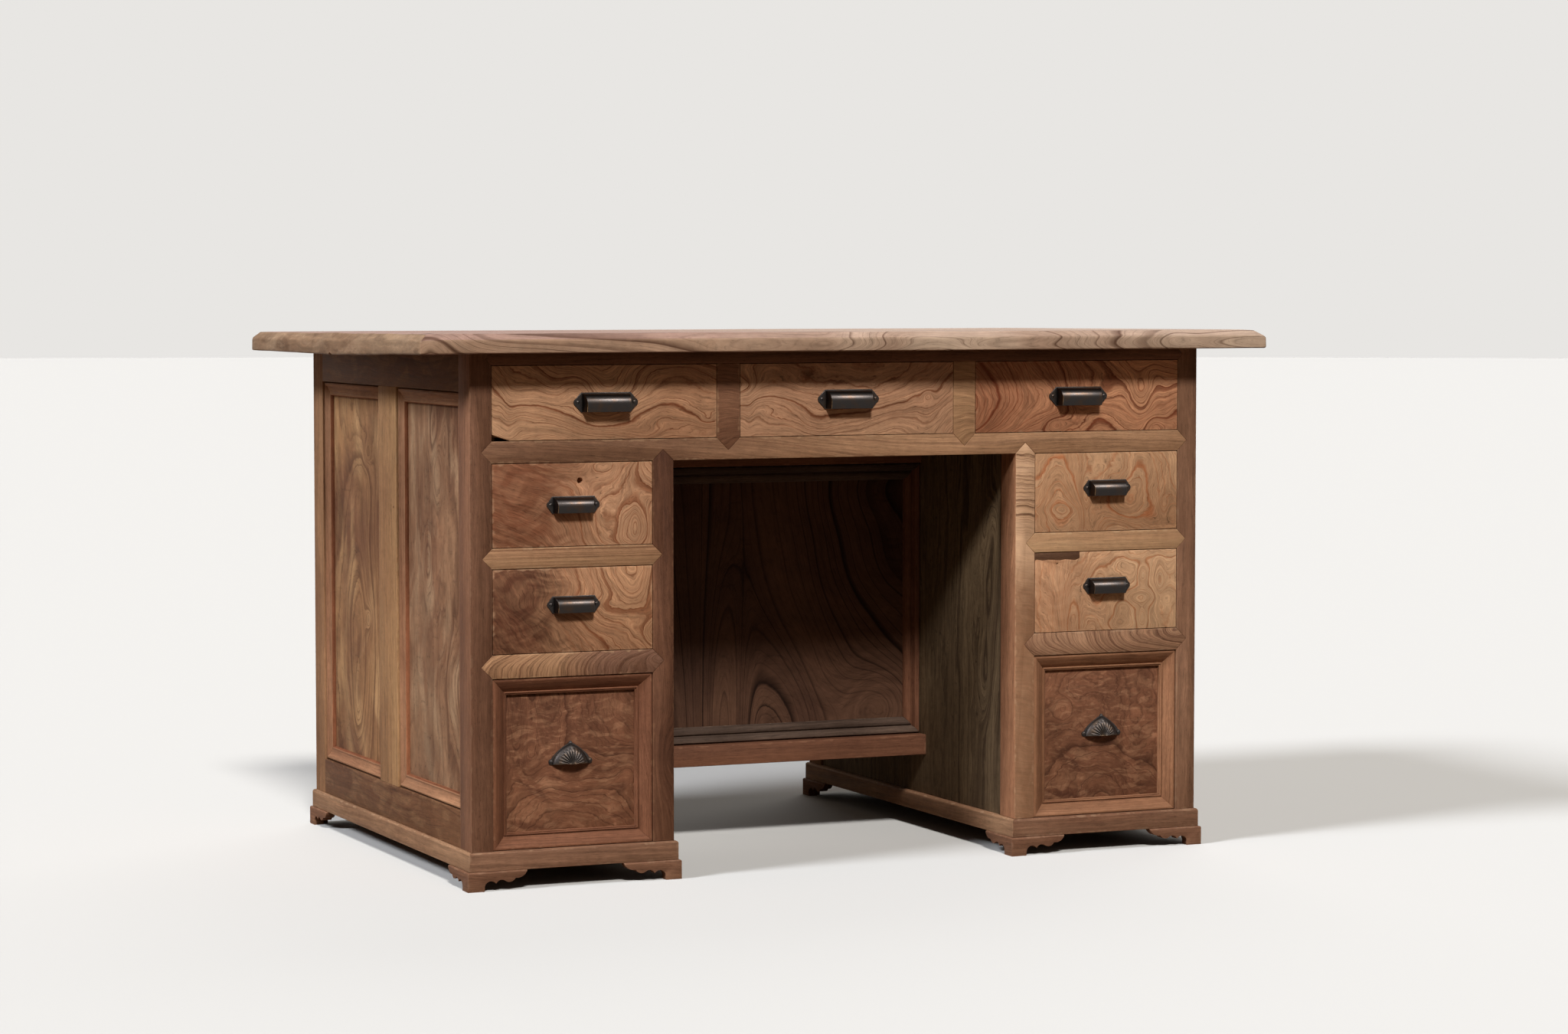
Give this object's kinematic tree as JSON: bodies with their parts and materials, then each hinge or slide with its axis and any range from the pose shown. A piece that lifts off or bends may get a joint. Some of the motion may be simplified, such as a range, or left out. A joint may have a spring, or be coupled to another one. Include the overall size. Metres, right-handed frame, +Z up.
{
  "type": "twin-pedestal writing desk",
  "caption": "Twin-pedestal writing desk in bare solid wood with sliding drawers, framed sides, knee panel, bracket feet and dark bronze pulls.",
  "frame": {"origin": "on the floor, under the centre of the desk top", "axes": "+X along the front to the sitter's right, +Y from the front into the depth, +Z up"},
  "size_m": [1.337, 0.847, 0.78],
  "materials": {
    "top_wood": "bare sanded, cathedral grain",
    "post_wood": "bare sanded, straight grain",
    "rail_wood": "bare sanded, straight grain",
    "banded_rail_wood": "bare sanded, strong bands",
    "top_drawer_wood": "bare sanded, contour grain",
    "left_drawer_wood": "bare sanded, burl figure",
    "right_drawer_wood": "bare sanded, contour grain",
    "deep_panel_burl": "burl, dark reddish brown",
    "moulding_wood": "shaped moulding, bare wood",
    "side_frame_wood": "bare sanded, straight grain",
    "side_panel_wood": "bare wood, olive brown",
    "inner_board_wood": "rough plank, grey brown",
    "back_wood": "rough sanded",
    "knee_panel_wood": "dark reddish brown, upright grain",
    "knee_rail_wood": "bare sanded",
    "plinth_wood": "bare sanded",
    "foot_wood": "bare sanded, scroll cut",
    "drawer_box_wood": "pale planed boards",
    "runner_wood": "planed strips",
    "pull_bronze": "dark bronze with worn edges"
  },
  "bodies": {
    "carcass": {"desk_top": "top_wood", "front_post_left_outer": "post_wood", "front_post_left_inner": "post_wood", "front_post_right_inner": "post_wood", "front_post_right_outer": "post_wood", "rear_posts": "post_wood", "front_top_rail": "rail_wood", "apron_rail": "rail_wood", "top_muntin_left": "post_wood", "top_muntin_right": "post_wood", "left_upper_rail": "rail_wood", "right_upper_rail": "rail_wood", "left_lower_rail": "banded_rail_wood", "right_lower_rail": "banded_rail_wood", "back_rails": "back_wood", "back_panels": "back_wood", "left_side_rails": "side_frame_wood", "right_side_rails": "side_frame_wood", "left_side_panels": "side_panel_wood", "right_side_panels": "side_panel_wood", "left_side_mouldings": "moulding_wood", "right_side_mouldings": "moulding_wood", "inner_side_boards": "inner_board_wood", "knee_rails": "knee_rail_wood", "knee_panel": "knee_panel_wood", "knee_mouldings": "knee_panel_wood", "plinth_frames": "plinth_wood", "bracket_feet": "foot_wood", "drawer_runners": "runner_wood", "drawer_stops": "runner_wood", "glue_blocks": "runner_wood"},
    "top_drawer_left": {"top_drawer_left_front": "top_drawer_wood", "top_drawer_left_box": "drawer_box_wood", "top_drawer_left_pull": "pull_bronze"},
    "top_drawer_centre": {"top_drawer_centre_front": "top_drawer_wood", "top_drawer_centre_box": "drawer_box_wood", "top_drawer_centre_pull": "pull_bronze"},
    "top_drawer_right": {"top_drawer_right_front": "top_drawer_wood", "top_drawer_right_box": "drawer_box_wood", "top_drawer_right_pull": "pull_bronze"},
    "left_upper_drawer": {"left_upper_drawer_front": "left_drawer_wood", "left_upper_drawer_box": "drawer_box_wood", "left_upper_drawer_pull": "pull_bronze"},
    "left_lower_drawer": {"left_lower_drawer_front": "left_drawer_wood", "left_lower_drawer_box": "drawer_box_wood", "left_lower_drawer_pull": "pull_bronze"},
    "left_deep_drawer": {"left_deep_drawer_panel": "deep_panel_burl", "left_deep_drawer_moulding": "moulding_wood", "left_deep_drawer_box": "drawer_box_wood", "left_deep_drawer_pull": "pull_bronze"},
    "right_upper_drawer": {"right_upper_drawer_front": "right_drawer_wood", "right_upper_drawer_box": "drawer_box_wood", "right_upper_drawer_pull": "pull_bronze"},
    "right_lower_drawer": {"right_lower_drawer_front": "right_drawer_wood", "right_lower_drawer_box": "drawer_box_wood", "right_lower_drawer_pull": "pull_bronze"},
    "right_deep_drawer": {"right_deep_drawer_panel": "deep_panel_burl", "right_deep_drawer_moulding": "moulding_wood", "right_deep_drawer_box": "drawer_box_wood", "right_deep_drawer_pull": "pull_bronze"}
  },
  "joints": [
    {"name": "top_drawer_left_slide", "type": "slide", "parent": "carcass", "child": "top_drawer_left", "axis": [0, -1, 0], "range_m": [0, 0.45]},
    {"name": "top_drawer_centre_slide", "type": "slide", "parent": "carcass", "child": "top_drawer_centre", "axis": [0, -1, 0], "range_m": [0, 0.45]},
    {"name": "top_drawer_right_slide", "type": "slide", "parent": "carcass", "child": "top_drawer_right", "axis": [0, -1, 0], "range_m": [0, 0.45]},
    {"name": "left_upper_drawer_slide", "type": "slide", "parent": "carcass", "child": "left_upper_drawer", "axis": [0, -1, 0], "range_m": [0, 0.45]},
    {"name": "left_lower_drawer_slide", "type": "slide", "parent": "carcass", "child": "left_lower_drawer", "axis": [0, -1, 0], "range_m": [0, 0.45]},
    {"name": "left_deep_drawer_slide", "type": "slide", "parent": "carcass", "child": "left_deep_drawer", "axis": [0, -1, 0], "range_m": [0, 0.45]},
    {"name": "right_upper_drawer_slide", "type": "slide", "parent": "carcass", "child": "right_upper_drawer", "axis": [0, -1, 0], "range_m": [0, 0.45]},
    {"name": "right_lower_drawer_slide", "type": "slide", "parent": "carcass", "child": "right_lower_drawer", "axis": [0, -1, 0], "range_m": [0, 0.45]},
    {"name": "right_deep_drawer_slide", "type": "slide", "parent": "carcass", "child": "right_deep_drawer", "axis": [0, -1, 0], "range_m": [0, 0.45]}
  ]
}
